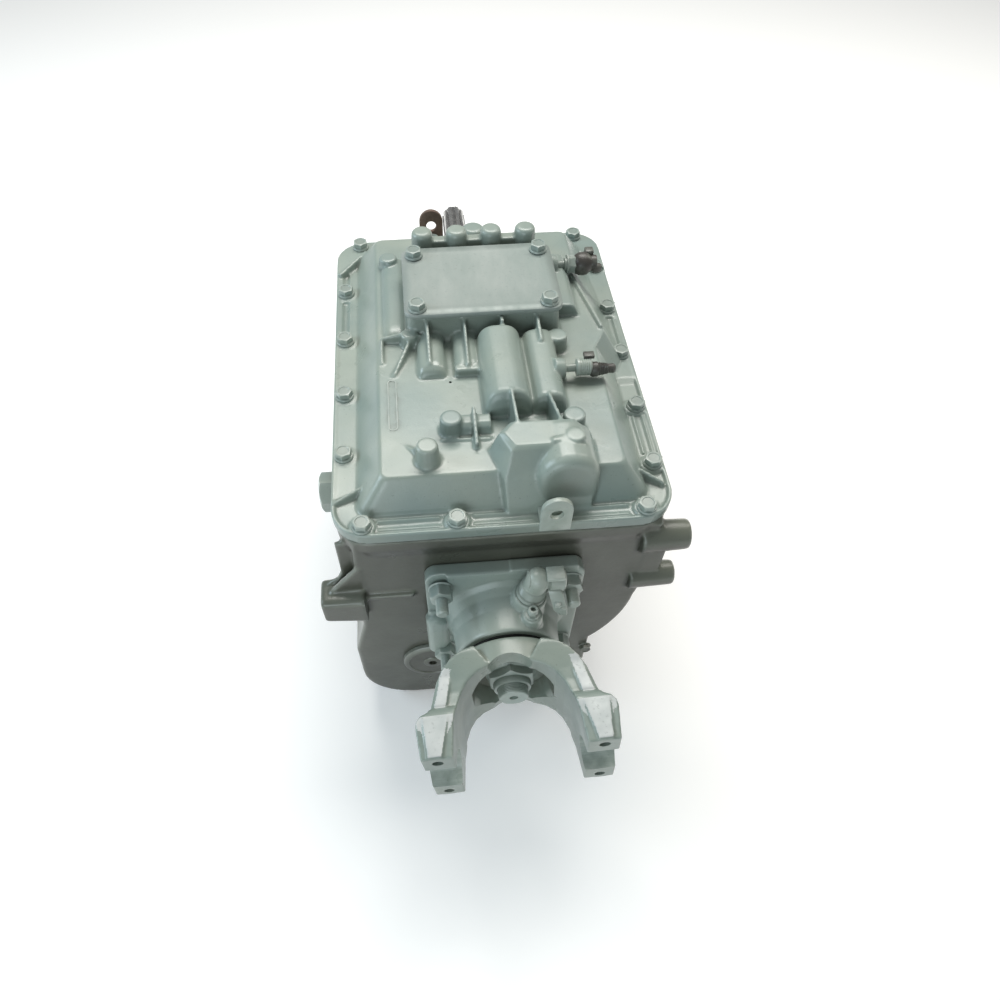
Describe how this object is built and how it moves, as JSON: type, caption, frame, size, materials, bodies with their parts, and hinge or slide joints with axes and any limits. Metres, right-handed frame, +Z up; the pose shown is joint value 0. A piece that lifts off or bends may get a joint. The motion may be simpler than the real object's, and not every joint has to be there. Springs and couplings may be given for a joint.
{
  "type": "manual transmission",
  "caption": "Heavy-vehicle manual transmission: iron case, top cover with shift rails, constant-mesh gear train, splined input shaft and half-round output yoke.",
  "frame": {"origin": "middle of the bounding box's footprint, on the plane under the sump", "axes": "+Y along the shafts from the output yoke to the input shaft, +Z up, +X to the right seen from the output end"},
  "size_m": [0.39, 0.989, 0.443],
  "materials": {
    "enamel": "semi-gloss grey-green machinery enamel over castings",
    "plate_enamel": "thin silvery grey-green enamel over pressed plate",
    "steel": "ground and polished",
    "gear_steel": "oiled case-hardened steel",
    "seal_rubber": "matt",
    "gasket": "fibre gasket",
    "bare_iron": "unpainted, brown oxide"
  },
  "bodies": {
    "case": {"main_case": "enamel", "cover_gasket": "gasket", "top_cover": "enamel", "shift_access_plate": "plate_enamel", "pto_cover_left": "enamel", "pto_cover_right": "enamel", "fill_plug": "enamel", "drain_plug": "steel", "rear_lifting_eye": "enamel", "front_lifting_eye": "bare_iron", "rear_bearing_cover": "enamel", "rear_oil_seal": "seal_rubber", "output_speed_sensor": "enamel", "front_bearing_retainer": "enamel", "countershaft_rear_cover": "enamel", "countershaft_front_cover": "enamel", "main_rear_bearing": "steel", "input_bearing": "steel", "countershaft_rear_bearing": "steel", "countershaft_front_bearing": "steel", "reverse_idler_shaft": "steel", "reverse_lamp_switch": "enamel", "neutral_switch": "enamel", "cover_bolt_left_1": "enamel", "cover_bolt_left_2": "enamel", "cover_bolt_left_3": "enamel", "cover_bolt_left_4": "enamel", "cover_bolt_right_1": "enamel", "cover_bolt_right_2": "enamel", "cover_bolt_right_3": "enamel", "cover_bolt_right_4": "enamel", "cover_bolt_right_5": "enamel", "plate_bolt_1": "enamel", "plate_bolt_2": "enamel", "plate_bolt_3": "enamel", "plate_bolt_4": "enamel", "rear_stud_nut_1": "enamel", "rear_stud_nut_2": "enamel", "rear_stud_nut_3": "enamel", "rear_stud_nut_4": "enamel"},
    "output": {"main_shaft": "steel", "output_yoke": "enamel", "yoke_nut": "enamel"},
    "input": {"input_shaft": "steel"},
    "countershaft": {"countershaft": "gear_steel"},
    "first_gear": {"first_gear": "gear_steel"},
    "second_gear": {"second_gear": "gear_steel"},
    "third_gear": {"third_gear": "gear_steel"},
    "fourth_gear": {"fourth_gear": "gear_steel"},
    "fifth_gear": {"fifth_gear": "gear_steel"},
    "reverse_gear": {"reverse_gear": "gear_steel"},
    "reverse_idler_gear": {"reverse_idler_gear": "gear_steel"},
    "reverse_rail": {"reverse_shift_rail": "gear_steel"},
    "reverse_sleeve": {"reverse_sleeve": "gear_steel"},
    "first_second_rail": {"first_second_shift_rail": "gear_steel"},
    "first_second_sleeve": {"first_second_sleeve": "gear_steel"},
    "third_fourth_rail": {"third_fourth_shift_rail": "gear_steel"},
    "third_fourth_sleeve": {"third_fourth_sleeve": "gear_steel"},
    "fifth_sixth_rail": {"fifth_sixth_shift_rail": "gear_steel"},
    "fifth_sixth_sleeve": {"fifth_sixth_sleeve": "gear_steel"}
  },
  "joints": [
    {"name": "countershaft_spin", "type": "hinge", "parent": "case", "child": "countershaft", "pos_m": [-0.082, -0.2905, 0.09941], "axis": [0, 1, 0], "continuous": true},
    {"name": "input_spin", "type": "hinge", "parent": "case", "child": "input", "pos_m": [0.003, -0.2905, 0.223], "axis": [0, 1, 0], "continuous": true},
    {"name": "output_spin", "type": "hinge", "parent": "case", "child": "output", "pos_m": [0.003, -0.2905, 0.223], "axis": [0, 1, 0], "continuous": true},
    {"name": "first_gear_spin", "type": "hinge", "parent": "case", "child": "first_gear", "pos_m": [0.003, -0.2905, 0.223], "axis": [0, 1, 0], "continuous": true},
    {"name": "second_gear_spin", "type": "hinge", "parent": "case", "child": "second_gear", "pos_m": [0.003, -0.2905, 0.223], "axis": [0, 1, 0], "continuous": true},
    {"name": "third_gear_spin", "type": "hinge", "parent": "case", "child": "third_gear", "pos_m": [0.003, -0.2905, 0.223], "axis": [0, 1, 0], "continuous": true},
    {"name": "fourth_gear_spin", "type": "hinge", "parent": "case", "child": "fourth_gear", "pos_m": [0.003, -0.2905, 0.223], "axis": [0, 1, 0], "continuous": true},
    {"name": "fifth_gear_spin", "type": "hinge", "parent": "case", "child": "fifth_gear", "pos_m": [0.003, -0.2905, 0.223], "axis": [0, 1, 0], "continuous": true},
    {"name": "reverse_gear_spin", "type": "hinge", "parent": "case", "child": "reverse_gear", "pos_m": [0.003, -0.2905, 0.223], "axis": [0, 1, 0], "continuous": true},
    {"name": "reverse_idler_spin", "type": "hinge", "parent": "case", "child": "reverse_idler_gear", "pos_m": [-0.00089, -0.2905, 0.07618], "axis": [0, 1, 0], "continuous": true},
    {"name": "reverse_rail_slide", "type": "slide", "parent": "case", "child": "reverse_rail", "axis": [0, 1, 0], "range_m": [0, 0.01]},
    {"name": "reverse_sleeve_slide", "type": "slide", "parent": "output", "child": "reverse_sleeve", "axis": [0, 1, 0], "range_m": [0, 0.01]},
    {"name": "first_second_rail_slide", "type": "slide", "parent": "case", "child": "first_second_rail", "axis": [0, 1, 0], "range_m": [-0.01, 0.01]},
    {"name": "first_second_sleeve_slide", "type": "slide", "parent": "output", "child": "first_second_sleeve", "axis": [0, 1, 0], "range_m": [-0.01, 0.01]},
    {"name": "third_fourth_rail_slide", "type": "slide", "parent": "case", "child": "third_fourth_rail", "axis": [0, 1, 0], "range_m": [-0.01, 0.01]},
    {"name": "third_fourth_sleeve_slide", "type": "slide", "parent": "output", "child": "third_fourth_sleeve", "axis": [0, 1, 0], "range_m": [-0.01, 0.01]},
    {"name": "fifth_sixth_rail_slide", "type": "slide", "parent": "case", "child": "fifth_sixth_rail", "axis": [0, 1, 0], "range_m": [-0.01, 0.01]},
    {"name": "fifth_sixth_sleeve_slide", "type": "slide", "parent": "output", "child": "fifth_sixth_sleeve", "axis": [0, 1, 0], "range_m": [-0.01, 0.01]}
  ],
  "couplings": [
    {"joint": "input_spin", "follows": "countershaft_spin", "ratio": -1.087},
    {"joint": "first_gear_spin", "follows": "countershaft_spin", "ratio": -0.2973},
    {"joint": "second_gear_spin", "follows": "countershaft_spin", "ratio": -0.41176},
    {"joint": "third_gear_spin", "follows": "countershaft_spin", "ratio": -0.5},
    {"joint": "fourth_gear_spin", "follows": "countershaft_spin", "ratio": -0.65517},
    {"joint": "fifth_gear_spin", "follows": "countershaft_spin", "ratio": -0.84615},
    {"joint": "reverse_gear_spin", "follows": "countershaft_spin", "ratio": 0.375},
    {"joint": "reverse_idler_spin", "follows": "countershaft_spin", "ratio": -0.8},
    {"joint": "reverse_sleeve_slide", "follows": "reverse_rail_slide", "ratio": 1},
    {"joint": "first_second_sleeve_slide", "follows": "first_second_rail_slide", "ratio": 1},
    {"joint": "third_fourth_sleeve_slide", "follows": "third_fourth_rail_slide", "ratio": 1},
    {"joint": "fifth_sixth_sleeve_slide", "follows": "fifth_sixth_rail_slide", "ratio": 1}
  ]
}
